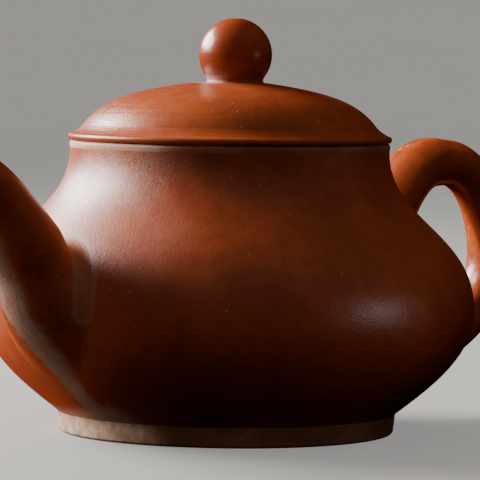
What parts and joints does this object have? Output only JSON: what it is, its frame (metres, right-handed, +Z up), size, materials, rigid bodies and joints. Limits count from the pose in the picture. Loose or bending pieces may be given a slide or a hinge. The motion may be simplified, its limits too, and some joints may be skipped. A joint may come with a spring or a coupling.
{
  "type": "teapot",
  "caption": "Squat round teapot of unglazed red-brown stoneware with a bent spout, a loop handle and a loose domed lid with a ball knob.",
  "frame": {"origin": "centre of the foot's lower face, on the pot's axis", "axes": "+Z up along the pot's axis, -X towards the spout, +X towards the handle"},
  "size_m": [0.1536, 0.0966, 0.0808],
  "materials": {
    "clay": "unglazed red-brown stoneware, burnished to a satin sheen",
    "clay_bare": "unglazed stoneware, paler and drier where it is rubbed or bare",
    "clay_inside": "unglazed stoneware, matte, not burnished"
  },
  "bodies": {
    "pot": {"body_wall": "clay", "base_disc": "clay_inside", "foot_ring": "clay_bare", "mouth_rim": "clay_bare", "spout": "clay", "strainer": "clay_inside", "handle": "clay"},
    "lid": {"lid_cap": "clay", "lid_rim": "clay", "lid_flange": "clay_inside", "knob_neck": "clay_bare", "knob": "clay"}
  },
  "joints": [
    {"name": "lid_lift", "type": "slide", "parent": "pot", "child": "lid", "axis": [0, 0, 1], "range_m": [0, 0.06]}
  ]
}
